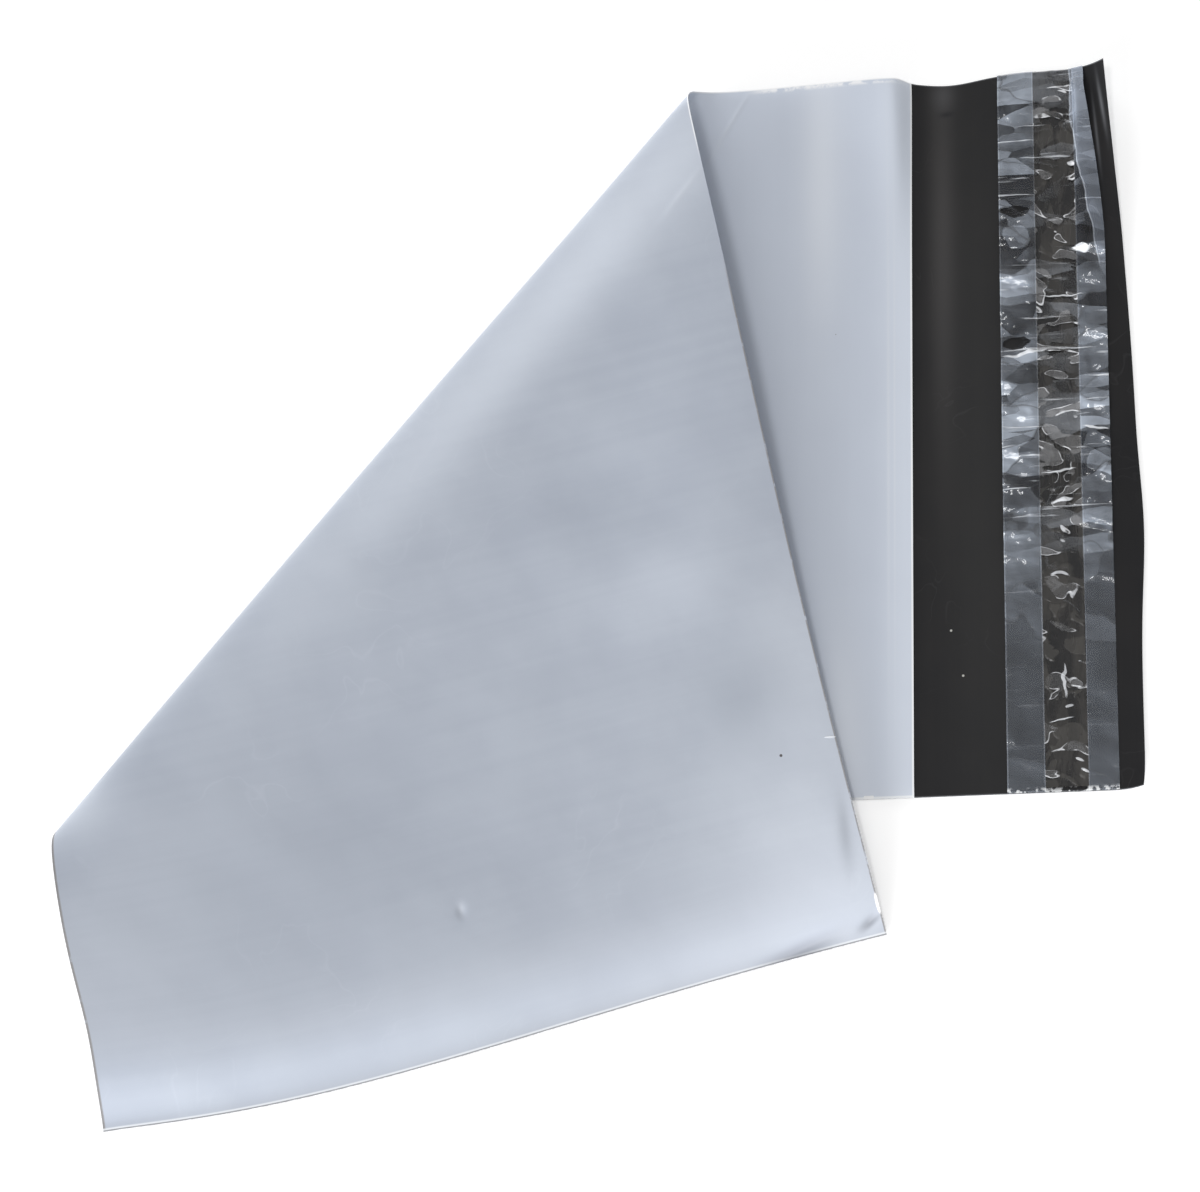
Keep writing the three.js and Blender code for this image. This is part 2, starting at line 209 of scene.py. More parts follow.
LOWER_TABLE = length_table(lower_branch)
UPPER_TABLE = length_table(upper_branch)
NOSE_LENGTH = (LOWER_TABLE[2] - UPPER_TABLE[2]) / 2
NOSE_PLACE = -(LOWER_TABLE[2] + UPPER_TABLE[2]) / 2


def bottom_drop(from_edge):
    """Share of full height near the closed bottom edge: one minus a stretched exponential."""
    return 1 - np.exp(-((np.clip(from_edge, 0, None) / BOTTOM_DROP_LENGTH) ** BOTTOM_DROP_POWER))


def slack_at(x, y):
    """Gap between the panels: none at the bottom and side welds, full in the middle."""
    from_side = np.minimum(y, BAG_WIDTH - y)
    side = 1 - np.exp(-from_side / SIDE_WELD_WIDTH)
    return PANEL_SLACK * side * bottom_drop(x + POUCH_LENGTH)


def table_lift(x, y):
    """Lift along the far side edge: a bell curve in y times a decay back from the mouth."""
    from_far_edge = (BAG_WIDTH - y) / FAR_EDGE_REACH
    before_mouth = 0.5 - 0.5 * np.tanh((x + FAR_EDGE_END) / FAR_EDGE_END)
    fade = np.exp(np.clip(x, None, 0) / FAR_EDGE_FADE)
    return FAR_EDGE_LIFT * np.exp(-from_far_edge ** 2) * before_mouth * fade


def roll_corner(flat_x, px, py, pz, corner):
    """Rolls film past a slanting line up onto an arc whose length is the film's length."""
    across = np.array([corner["reach"], corner["side"] * corner["start"]])
    across = across / np.linalg.norm(across)
    past = (px - (FLAP_LENGTH - corner["start"])) * across[0] + (py - corner["y"]) * across[1]
    past = np.where(flat_x > 0, np.clip(past, 0, None), 0.0)
    angle = past / corner["radius"]
    pulled_in = past - corner["radius"] * np.sin(angle)
    lift = corner["radius"] * (1 - np.cos(angle))
    return px - pulled_in * across[0], py - pulled_in * across[1], pz + lift


def place_film(x, y):
    """Maps flat places to space: along the fold as they are, and across it by the roll's section.

    The outer face of the panel that carries the flap is what is placed.
    """
    bowed = bottom_bow(y) * np.exp(-((x + POUCH_LENGTH) / BOTTOM_BOW_REACH) ** 2)
    flat = np.stack([x - bowed, drawn_in(x, y)], -1) - FOLD_START
    along = flat @ FOLD_ALONG
    past = flat @ FOLD_ACROSS
    folded = past >= NOSE_LENGTH
    top = np.interp(past - NOSE_LENGTH, UPPER_TABLE[1], UPPER_TABLE[0])
    under = np.interp(NOSE_LENGTH - past, LOWER_TABLE[1], LOWER_TABLE[0])
    distance = np.where(folded, top, under)
    share_along = np.clip(along / np.linalg.norm(FOLD_END - FOLD_START), 0, 1)
    bulge = ROLL_BULGE * np.sin(np.pi * share_along) * np.exp(-((distance / ROLL_BULGE_REACH) ** 2))
    across = NOSE_PLACE - distance + bulge
    px = FOLD_START[0] + along * FOLD_ALONG[0] + across * FOLD_ACROSS[0]
    py = FOLD_START[1] + along * FOLD_ALONG[1] + across * FOLD_ACROSS[1]
    seal = 2 * FILM_THICKNESS
    over = settled(distance, upper_branch(distance), y) + side_hover(distance, y)
    over = seal + (over - seal) * bottom_drop(x + POUCH_LENGTH)
    at_nose = np.exp(-((distance / NOSE_LIFT_REACH) ** 2))
    nose_x = FOLD_START[0] + along * FOLD_ALONG[0]
    nose_y = FOLD_START[1] + along * FOLD_ALONG[1]
    nose_lift = table_lift(nose_x, nose_y) * at_nose
    below = lower_branch(distance) + table_lift(x, y) * (1 - at_nose)
    pz = np.where(folded, over, below) + nose_lift
    px, py, pz = roll_corner(x, px, py, pz, FAR_CORNER)
    px, py, pz = roll_corner(x, px, py, pz, NEAR_CORNER)
    return np.stack([px, py, pz], -1)


def film_frame(x, y):
    """Places, and normals from the cross product of small steps along x and along y."""
    along_x = place_film(x + NORMAL_STEP, y) - place_film(x - NORMAL_STEP, y)
    along_y = place_film(x, y + NORMAL_STEP) - place_film(x, y - NORMAL_STEP)
    normal = np.cross(along_x, along_y)
    normal /= np.linalg.norm(normal, axis=-1, keepdims=True)
    return place_film(x, y), normal


def frame_shift():
    """Offset from the flat bag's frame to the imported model's, by the middles of their boxes."""
    across = np.linspace(0, BAG_WIDTH, 60)
    edges = []
    for x in (-POUCH_LENGTH, FLAP_LENGTH):
        edges.append(place_film(np.full_like(across, x), across))
    along = np.linspace(-POUCH_LENGTH, FLAP_LENGTH, 1200)
    for y in (0.0, BAG_WIDTH):
        edges.append(place_film(along, np.full_like(along, y)))
    outline = np.concatenate(edges)
    middle = (outline.min(0) + outline.max(0)) / 2
    low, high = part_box("bag_film")
    target = (np.array(low) + np.array(high)) / 2 / MM
    return np.array([target[0] - middle[0], target[1] - middle[1], 0.0])


SHIFT = frame_shift()


# Meshes

# Rows of the bag's grid in each part of it. The roll's rows fill a strip along the fold line:
# its middle past the line, and its half widths towards the bottom and towards the mouth
ROLL_ROWS = 70
BOTTOM_ROWS = 56
POUCH_ROWS = 34
FLAP_ROWS = 44
ROLL_STRIP_MIDDLE = 5.0
ROLL_STRIP_BEYOND = 35.0
ROLL_STRIP_BEFORE = 30.0
ROLL_ROW_POWER = 1.5
BOTTOM_ROW_POWER = 1.3
SEAL_ROWS = 2

# Columns along the bag, which crowd towards the side welds
FILM_COLUMNS = 96
WELD_COLUMNS = 2
WELD_LINE_INSET = 0.35
COLUMN_CROWDING = 0.4

# Rows across and along the flap for the two ribbons
ADHESIVE_GRID = (12, 200)
LINER_GRID = (84, 620)
SHARP_EDGE_DEGREES = 50


def grid_quads(index, up):
    """Four corners of each cell of a grid of point numbers, turned so that faces point out."""
    a, b = index[:-1, :-1], index[1:, :-1]
    c, d = index[1:, 1:], index[:-1, 1:]
    order = (a, b, c, d) if up else (a, d, c, b)
    return np.stack(order, -1).reshape(-1, 4)


def strip_quads(below, above):
    """Cells of a narrow wall between a line of points below and the matching line above."""
    return np.stack([below[:-1], below[1:], above[1:], above[:-1]], -1)


def mesh_piece(name, points, faces, finish_of_face, finishes, flat_place):
    """One closed mesh from point and face arrays, with the flat place of each point as its UV."""
    mesh = bpy.data.meshes.new(name)
    points = (points + SHIFT) * MM
    sizes = np.array([len(f) for group in faces for f in group])
    loops = np.concatenate([np.asarray(group).reshape(-1) for group in faces])
    mesh.vertices.add(len(points))
    mesh.vertices.foreach_set("co", points.astype(np.float32).reshape(-1))
    mesh.loops.add(len(loops))
    mesh.loops.foreach_set("vertex_index", loops.astype(np.int32))
    mesh.polygons.add(len(sizes))
    starts = np.concatenate([[0], np.cumsum(sizes)[:-1]])
    mesh.polygons.foreach_set("loop_start", starts.astype(np.int32))
    mesh.polygons.foreach_set("material_index", np.asarray(finish_of_face, np.int32))
    mesh.polygons.foreach_set("use_smooth", np.ones(len(sizes), bool))
    uv = mesh.uv_layers.new(name="flat_film")
    uv.data.foreach_set("uv", (flat_place[loops] * MM).astype(np.float32).reshape(-1))
    mesh.update(calc_edges=True)
    mesh.validate()
    mesh.set_sharp_from_angle(angle=np.radians(SHARP_EDGE_DEGREES))
    for finish in finishes:
        mesh.materials.append(finish)
    piece = bpy.data.objects.new(name, mesh)
    bpy.context.collection.objects.link(piece)
    return piece


def film_lines(y):
    """x of each line across the flat bag, from the bottom through the fold to the flap's edge.

    Lines near the fold run parallel to it, those at the bottom and the mouth run square across.
    """
    share = y / BAG_WIDTH
    on_fold = FOLD_NEAR + (FOLD_FAR - FOLD_NEAR) * share
    t = np.linspace(1, -1, ROLL_ROWS + 1)
    half = np.where(t > 0, ROLL_STRIP_BEYOND, ROLL_STRIP_BEFORE)
    past = ROLL_STRIP_MIDDLE + half * np.sign(t) * np.abs(t) ** ROLL_ROW_POWER
    roll = on_fold[None, :] + past[:, None] / FOLD_ACROSS[0]
    s = np.linspace(0, 1, BOTTOM_ROWS + 1)[:-1, None] ** BOTTOM_ROW_POWER
    sealed = BOTTOM_SEAL_WIDTH - POUCH_LENGTH
    bottom = sealed + (roll[:1] - sealed) * s
    edge = np.stack([np.full_like(y, -POUCH_LENGTH)] * 2)
    edge[1] += BOTTOM_SEAL_WIDTH / 3
    p = np.linspace(0, 1, POUCH_ROWS + 1)[1:, None]
    pouch = roll[-1:] * (1 - p)
    flap = flap_edge(y) * np.linspace(0, 1, FLAP_ROWS + 1)[1:, None]
    lines = np.concatenate([edge, bottom, roll, pouch, flap])
    return lines, len(lines) - 1 - FLAP_ROWS


def film_columns():
    """y of each line along the bag: a weld at each side, finer steps near the edges."""
    share = np.linspace(0, 1, FILM_COLUMNS + 1)
    crowded = share - COLUMN_CROWDING * np.sin(2 * np.pi * share) / (2 * np.pi)
    inner = SIDE_WELD_WIDTH + (BAG_WIDTH - 2 * SIDE_WELD_WIDTH) * crowded
    return np.concatenate([[0.0, WELD_LINE_INSET], inner,
                           [BAG_WIDTH - WELD_LINE_INSET, BAG_WIDTH]])


def make_bag_film(outside, inside, cut_edge):
    """The folded and welded film: skins off one mapped surface, joined by walls at every edge."""
    y = film_columns()
    x, mouth = film_lines(y)
    y = np.broadcast_to(y, x.shape)
    place, normal = film_frame(x, y)
    slack = slack_at(x, y)[..., None]
    t = FILM_THICKNESS
    rows, columns = x.shape
    weld = WELD_COLUMNS
    points, flats, count = [], [], 0

    def skin(row, column, offset):
        nonlocal count
        part = (place + normal * offset)[row, column]
        flat = np.stack([x, y], -1)[row, column]
        index = np.arange(part.shape[0] * part.shape[1]).reshape(part.shape[:2]) + count
        count += index.size
        points.append(part.reshape(-1, 3))
        flats.append(flat.reshape(-1, 2))
        return index

    full = slice(0, columns)
    inner = slice(weld, columns - weld)
    pouch = slice(0, mouth + 1)
    hollow = slice(SEAL_ROWS, mouth + 1)
    back = skin(slice(0, rows), full, 0 * slack)
    front = skin(pouch, full, 2 * t + slack)
    inner_front = skin(hollow, inner, t + slack)
    inner_back = skin(slice(SEAL_ROWS, mouth), inner, t + 0 * slack)
    flap = skin(slice(mouth, rows), full, t + 0 * slack)
    inner_back = np.concatenate([inner_back, flap[:1, inner]])

    groups = []
    finish = []

    def add(quads, which):
        groups.append(quads)
        finish.extend([which] * len(quads))

    add(grid_quads(back, False), 0)
    add(grid_quads(front, True), 0)
    add(grid_quads(inner_front, False), 1)
    add(grid_quads(inner_back, True), 1)
    add(grid_quads(flap, True), 1)
    add(strip_quads(inner_back[0], inner_front[0]), 1)
    add(strip_quads(inner_front[:, 0], inner_back[:, 0]), 1)
    add(strip_quads(inner_back[:, -1], inner_front[:, -1]), 1)
    add(strip_quads(front[0], back[0]), 2)
    add(strip_quads(back[-1], flap[-1]), 2)
    add(strip_quads(back[:mouth, 0], front[:mouth, 0]), 2)
    add(strip_quads(front[:mouth, -1], back[:mouth, -1]), 2)
    add(strip_quads(back[mouth:, 0], flap[:, 0]), 2)
    add(strip_quads(flap[:, -1], back[mouth:, -1]), 2)
    add(strip_quads(inner_front[-1], front[mouth, inner]), 2)
    m, e = mouth, columns - 1
    near_side = [back[m - 1, 0], back[m, 0], flap[0, 0], front[m, 0], front[m - 1, 0]]
    far_side = [front[m - 1, e], front[m, e], flap[0, e], back[m, e], back[m - 1, e]]
    near_end = list(flap[0, :weld + 1]) + [inner_front[-1, 0]] + list(front[m, weld::-1])
    far_end = list(front[m, e:e - weld - 1:-1]) + [inner_front[-1, -1]]
    far_end += list(flap[0, e - weld:])
    far_end = [flap[0, e]] + far_end[:-1]
    for ring in (near_side, far_side, near_end, far_end):
        add(np.array([ring]), 2)
    return mesh_piece("mailer_film", np.concatenate(points), groups, finish,
                      [outside, inside, cut_edge], np.concatenate(flats))


def ribbon_piece(name, xs, ys, underside, thickness, finish):
    """A thin closed ribbon on the flap: two skins off the flap's surface and four edge walls."""
    x, y = xs + 0 * ys, ys + 0 * xs
    place, normal = film_frame(x, y)
    low = (FILM_THICKNESS + underside)[..., None]
    index = np.arange(x.size).reshape(x.shape)
    under, top = index, index + x.size
    points = np.concatenate([(place + normal * low).reshape(-1, 3),
                             (place + normal * (low + thickness)).reshape(-1, 3)])
    flat = np.stack([x, y], -1).reshape(-1, 2)
    groups = [grid_quads(under, False), grid_quads(top, True),
              strip_quads(top[0], under[0]), strip_quads(under[-1], top[-1]),
              strip_quads(under[:, 0], top[:, 0]), strip_quads(top[:, -1], under[:, -1])]
    total = sum(len(g) for g in groups)
    return mesh_piece(name, points, groups, np.zeros(total, int), [finish],
                      np.concatenate([flat, flat]))


def zigzag(phase):
    """0 at whole numbers and 1 halfway between them, with straight flanks and sharp turns."""
    return 1 - np.abs(2 * (phase - np.floor(phase)) - 1)


def crumpled(x, y, seed, count, length, lean, slope):
    """Sum of zigzags in several directions, bent by slow sines: flat facets and sharp folds."""
    rng = np.random.default_rng(seed)
    bend = rng.uniform(0, 2 * np.pi, 4)
    bent_x = x + 1.3 * np.sin(y / 6.1 + bend[0]) + 0.6 * np.sin(y / 2.3 + bend[1])
    bent_y = y + 1.6 * np.sin(x / 4.7 + bend[2]) + 2.2 * np.sin(y / 9.0 + bend[3])
    total = np.zeros_like(x)
    for _ in range(count):
        pitch = rng.uniform(*length)
        turn = np.radians(rng.normal(90 + lean[0], lean[1]))
        phase = (bent_x * np.cos(turn) + bent_y * np.sin(turn)) / pitch + rng.uniform()
        total += rng.uniform(*slope) * pitch / 2 * zigzag(phase)
    return total


# How far the adhesive's edges wander, and the length of each wave
ADHESIVE_WANDER = ((0.12, 7.0), (0.08, 2.6))


def make_adhesive(finish):
    """The adhesive band: a flat ribbon whose long edges wander a little."""
    across, along = ADHESIVE_GRID
    ys = np.linspace(ADHESIVE_END_MARGIN, BAG_WIDTH - ADHESIVE_END_MARGIN, along)[None, :]
    wander = sum(far * np.sin(ys / length) for far, length in ADHESIVE_WANDER)
    xs = ADHESIVE_FROM + wander + ADHESIVE_WIDTH * np.linspace(0, 1, across)[:, None]
    return ribbon_piece("adhesive_band", xs, ys, ADHESIVE_GAP + 0 * xs, ADHESIVE_THICKNESS, finish)


# The liner's crumples, large and small, and the share of each over the adhesive and off it
LARGE_CRUMPLES = {"seed": 11, "count": 6, "length": (3.4, 8.0), "lean": (0, 26),
                  "slope": (0.05, 0.13)}
SMALL_CRUMPLES = {"seed": 23, "count": 5, "length": (1.3, 2.8), "lean": (0, 34),
                  "slope": (0.05, 0.14)}
LARGE_SHARE = (0.3, 0.45)
SMALL_SHARE = (0.35, 0.2)
LINER_CALM_SHARE = 0.3
LINER_LIVELY_FROM = (34.0, 60.0)
LINER_OVER_ADHESIVE = 0.02

# The outer margin's standing fold: where it rises along and across the flap, its height, and
# its foot and width as shares of the liner
STANDING_ALONG = (104.0, 126.0)
STANDING_ACROSS = (31.5, 33.4)
STANDING_HEIGHT = 1.5
STANDING_FOOT = 0.62
STANDING_WIDTH = 0.5


def make_liner(finish):
    """The release liner: held down along the adhesive, crumpled and loose in both margins.

    Its relief is a sum of zigzags that is full in the margins, low over the adhesive and calm
    towards the near end, and the outer margin stands up in one smooth fold at the far end.
    """
    ys = np.linspace(0, BAG_WIDTH, LINER_GRID[1])[None, :]
    share = np.linspace(0, 1, LINER_GRID[0])[:, None]
    x = MOUTH_TO_LINER + liner_width_at(ys) * share
    y = ys + 0 * x
    middle = ADHESIVE_FROM + ADHESIVE_WIDTH / 2
    off_band = smooth_step(np.abs(x - middle) - ADHESIVE_WIDTH / 2, -0.8, 1.6)
    lively = LINER_CALM_SHARE + (1 - LINER_CALM_SHARE) * smooth_step(y, *LINER_LIVELY_FROM)
    large = crumpled(x, y, **LARGE_CRUMPLES)
    small = crumpled(x, y, **SMALL_CRUMPLES)
    large = (large - large.min()) * (LARGE_SHARE[0] + LARGE_SHARE[1] * off_band)
    small = (small - small.min()) * (SMALL_SHARE[0] + SMALL_SHARE[1] * off_band)
    from_far = smooth_step(BAG_WIDTH - y, 0.2, 6)
    standing = smooth_step(y, *STANDING_ALONG) * smooth_step(x, *STANDING_ACROSS) * from_far
    relief = lively * (large + small) * (1 - 0.8 * standing) * (0.2 + 0.8 * from_far)
    over_foot = np.clip((share - STANDING_FOOT) / STANDING_WIDTH, 0, 1)
    relief = relief + STANDING_HEIGHT * standing * np.sin(np.pi * over_foot)
    base = ADHESIVE_GAP + ADHESIVE_THICKNESS + LINER_OVER_ADHESIVE
    return ribbon_piece("liner_film", x, ys, base + relief, LINER_THICKNESS, finish)


# Finishes

class Nodes:
    """A node tree under construction: short calls that add a node and join it up."""

    def __init__(self, tree):
        self.tree = tree

    def give(self, socket, term):
        """Links a socket to another one, or sets it to a plain number, vector or colour."""
        if isinstance(term, bpy.types.NodeSocket):
            self.tree.links.new(term, socket)
        else:
            socket.default_value = term

    def node(self, kind, terms=None, **settings):
        made = self.tree.nodes.new(kind)
        for key, value in settings.items():
            setattr(made, key, value)
        for key, term in (terms or {}).items():
            self.give(made.inputs[key], term)
        return made

    def sums(self, operation, *terms):
        """One step of arithmetic on sockets and plain numbers."""
        made = self.node("ShaderNodeMath", operation=operation)
        for socket, term in zip(made.inputs, terms):
            self.give(socket, term)
        return made.outputs[0]

    def step(self, value, start, end):
        """A smooth step from 0 at start to 1 at end, or the other way round."""
        made = self.node("ShaderNodeMapRange", {"Value": value, "From Min": start, "From Max": end},
                         interpolation_type="SMOOTHSTEP")
        return made.outputs["Result"]

    def noise(self, place, scale, detail=2.0, roughness=0.5, distortion=0.0):
        made = self.node("ShaderNodeTexNoise", {
            "Vector": place, "Scale": scale, "Detail": detail, "Roughness": roughness,
            "Distortion": distortion})
        return made.outputs["Fac"]

    def stretched(self, place, across, along, turn=0.0):
        """A place scaled by two factors, so that a pattern on it is drawn out one way."""
        made = self.node("ShaderNodeMapping", {
            "Vector": place, "Rotation": (0.0, 0.0, turn), "Scale": (across, along, 1.0)})
        return made.outputs["Vector"]

    def layer(self, under, mask, over, strength=1.0):
        """Lays a colour over another one where a mask says."""
        if strength != 1.0:
            mask = self.sums("MULTIPLY", mask, strength)
        made = self.node("ShaderNodeMix", data_type="RGBA", clamp_factor=True)
        self.give(made.inputs["Factor"], mask)
        self.give(made.inputs["A"], under)
        self.give(made.inputs["B"], over)
        return made.outputs["Result"]

    def use(self, effect, **terms):
        """Places a shared effect and hands back its outputs."""
        made = self.node("ShaderNodeGroup", node_tree=effect.tree)
        for key, term in terms.items():
            self.give(made.inputs[key.replace("_", " ").title()], term)
        return made.outputs


class SharedEffect(Nodes):
    """A group of nodes that more than one finish uses, with named inputs and outputs."""

    def __init__(self, name, inputs, outputs):
        super().__init__(bpy.data.node_groups.new(name, "ShaderNodeTree"))
        for label, value in inputs.items():
            kind = "NodeSocketFloat" if isinstance(value, float) else "NodeSocketVector"
            socket = self.tree.interface.new_socket(label, in_out="INPUT", socket_type=kind)
            if value is not None:
                socket.default_value = value
        for label in outputs:
            self.tree.interface.new_socket(label, in_out="OUTPUT", socket_type="NodeSocketFloat")
        self.given = self.tree.nodes.new("NodeGroupInput").outputs
        self.result = self.tree.nodes.new("NodeGroupOutput").inputs


class Finish(Nodes):
    """A material under construction, on the piece's own flat film coordinates."""

    def __init__(self, name, **constants):
        self.material = bpy.data.materials.new(name)
        self.material.use_nodes = True
        super().__init__(self.material.node_tree)
        self.shader = self.tree.nodes["Principled BSDF"]
        for socket, value in constants.items():
            self.shader.inputs[socket.replace("_", " ")].default_value = value
        self.flat = self.node("ShaderNodeUVMap", uv_map="flat_film").outputs["UV"]
        split = self.node("ShaderNodeSeparateXYZ", {"Vector": self.flat})
        self.x, self.y = split.outputs["X"], split.outputs["Y"]

    def feed(self, **terms):
        for key, term in terms.items():
            self.give(self.shader.inputs[key.replace("_", " ")], term)

    def relief(self, *heights):
        """Sum of heights in millimetres, each given as a mask and its full height."""
        total = 0.0
        for mask, height in heights:
            total = self.sums("MULTIPLY_ADD", mask, height, total)
        bump = self.node("ShaderNodeBump", {"Strength": 1.0, "Distance": MM, "Height": total})
        self.feed(Normal=bump.outputs["Normal"])

    def spot(self, x, y, half_x, half_y, turn=0.0, hard=False, place=None):
        """A patch at a flat place, by its half widths in millimetres and its turn in degrees."""
        lean = np.radians(turn)
        across = np.array([np.cos(lean), np.sin(lean), 0.0]) / (half_x * MM)
        along = np.array([-np.sin(lean), np.cos(lean), 0.0]) / (half_y * MM)
        made = self.use(SOFT_SPOT, place=place or self.flat, middle=(x * MM, y * MM, 0.0),
                        across=across.tolist(), along=along.tolist())
        return made["Hard" if hard else "Soft"]

    def patches(self, spots, place, low, high):
        """The strongest of several spots, sharpened between two of its levels."""
        total = 0.0
        for spot in spots:
            total = self.sums("MAXIMUM", self.spot(*spot, place=place), total)
        return self.step(total, low, high)


def colour(red, green, blue):
    """Linear colour from an 8-bit screen colour, by the screen's gamma curve."""
    c = np.array([red, green, blue]) / 255
    linear = np.where(c <= 0.04045, c / 12.92, ((c + 0.055) / 1.055) ** 2.4)
    return (*linear.tolist(), 1.0)


def soft_spot():
    """A bell curve of the distance from a middle, counted in half widths, and a hard-edged disc."""
    g = SharedEffect("soft_spot", {"Place": None, "Middle": None, "Across": None, "Along": None},
                     ("Soft", "Hard"))
    away = g.node("ShaderNodeVectorMath", {0: g.given["Place"], 1: g.given["Middle"]},
                  operation="SUBTRACT").outputs["Vector"]
    across, along = (
        g.node("ShaderNodeVectorMath", {0: away, 1: g.given[axis]},
               operation="DOT_PRODUCT").outputs["Value"] for axis in ("Across", "Along"))
    squared = g.sums("MULTIPLY_ADD", across, across, g.sums("MULTIPLY", along, along))
    g.give(g.result["Soft"], g.sums("EXPONENT", g.sums("MULTIPLY", squared, -1.0)))
    g.give(g.result["Hard"], g.step(g.sums("SQRT", squared), 1.15, 0.75))
    return g


def film_cloud():
    """Slow changes of tone and height in blown film, with faint draw lines across the bag."""
    g = SharedEffect("film_cloud", {"Place": None}, ("Tone", "Height"))
    place = g.given["Place"]
    broad = g.noise(place, 24.0, 2.0, 0.4)
    middle = g.noise(place, 95.0, 3.0, 0.5)
    lines = g.noise(g.stretched(place, 520.0, 9.0), 1.0, 2.0, 0.6)
    tone = g.sums("MULTIPLY_ADD", lines, 0.2, g.sums("MULTIPLY_ADD", middle, 0.3,
                                                     g.sums("MULTIPLY", broad, 0.5)))
    g.give(g.result["Tone"], tone)
    g.give(g.result["Height"], g.sums("MULTIPLY_ADD", middle, 0.12, broad))
    return g


def fine_creases():
    """Thin lines where a noise crosses its middle value, kept only inside some soft patches."""
    g = SharedEffect("fine_creases", {"Place": None, "Scale": 120.0, "Width": 0.02}, ("Line",))
    place = g.given["Place"]
    level = g.noise(place, g.given["Scale"], 2.0, 0.45, 0.6)
    away = g.sums("ABSOLUTE", g.sums("SUBTRACT", level, 0.5))
    line = g.sums("SUBTRACT", 1.0, g.sums("DIVIDE", away, g.given["Width"]))
    patch = g.step(g.noise(place, g.sums("MULTIPLY", g.given["Scale"], 0.3)), 0.5, 0.66)
    g.give(g.result["Line"], g.sums("MULTIPLY", g.sums("MAXIMUM", line, 0.0), patch))
    return g


def dust_specks():
    """Small round specks, one in a cell, in the share of the cells that the amount gives."""
    g = SharedEffect("dust_specks", {"Place": None, "Scale": 160.0, "Size": 0.05, "Amount": 0.1},
                     ("Speck",))
    cells = g.node("ShaderNodeTexVoronoi", {"Vector": g.given["Place"], "Scale": g.given["Scale"]})
    inside = g.sums("LESS_THAN", cells.outputs["Distance"], g.given["Size"])
    chance = g.node("ShaderNodeSeparateColor", {"Color": cells.outputs["Color"]})
    chosen = g.sums("LESS_THAN", chance.outputs["Red"], g.given["Amount"])
    g.give(g.result["Speck"], g.sums("MULTIPLY", inside, chosen))
    return g


SOFT_SPOT = soft_spot()
FILM_CLOUD = film_cloud()
FINE_CREASES = fine_creases()
DUST_SPECKS = dust_specks()


# Colours of painted light and painted shade on the grey film
PAINTED_LIGHT = colour(222, 229, 240)
PAINTED_LIGHTER = colour(226, 232, 242)
PAINTED_LIGHTEST = colour(244, 248, 254)
PAINTED_SHADE = colour(126, 134, 148)

# Painted light and painted shade in soft patches of the film's tone, on the folded part and
# then on the pouch's front: a patch's place, half widths and turn, then its colour and how
# strong it is
FOLDED_PAINTED_LIGHT = (
    ((-86, 120, 75, 8, 51.6), PAINTED_LIGHT, 0.56),
    ((-226, 132, 6, 38), PAINTED_LIGHTER, 0.3),
    ((-206, 146, 20, 24), PAINTED_LIGHTER, 0.36),
    ((-170, 150, 18, 9), PAINTED_LIGHTER, 0.3),
    ((-152, 128, 9, 12), PAINTED_LIGHT, 0.22),
    ((-177, 137, 7, 10, -30), colour(120, 128, 142), 0.2),
    ((-166, 7, 7, 9, 50), PAINTED_LIGHT, 0.4),
    ((-134, 116, 9, 16, 30), PAINTED_SHADE, 0.22),
    ((-186, 44, 28, 44), PAINTED_SHADE, 0.35),
    ((-224, 40, 5, 60), colour(214, 222, 234), 0.22),
)
FRONT_PAINTED_LIGHT = (
    ((-2, 38, 7, 50), colour(168, 176, 190), 0.32),
    ((-14, 8, 5, 22), PAINTED_LIGHTEST, 0.38),
    ((-18, 130, 4, 30), PAINTED_LIGHTEST, 0.38),
)

# Marks on the folded part, with painted light and painted shade in some: a dent and a wedge at
# the corner with painted shade in them, painted shade along an edge, a painted highlight in a
# crescent, a nick, a speck and a dimple. Each has its patch, with whether its edge is hard,
# then its colour, how strong it is and its relief in millimetres
MARKS_AND_PAINTED_LIGHT = (
    ((-227.2, 136.2, 1.7, 7.2, -11), colour(148, 152, 164), 0.6, -0.5),
    ((-225.2, 150.3, 0.8, 2.2, -30), colour(156, 160, 170), 0.55, -0.35),
    ((-208, 150.6, 6.5, 1.6, 8), colour(156, 162, 172), 0.3, -0.2),
    ((-222.6, 152.2, 2.0, 0.36, 0, True), colour(252, 252, 254), 0.95, 0.0),
    ((-189.3, 151.4, 0.22, 1.1, 12, True), colour(232, 236, 242), 0.85, 0.05),
    ((-190.5, 141.5, 0.3, 0.3, 0, True), colour(58, 52, 52), 0.95, 0.0),
    ((-203, 75.7, 1.3, 0.9), colour(202, 208, 218), 0.35, -0.12),
)


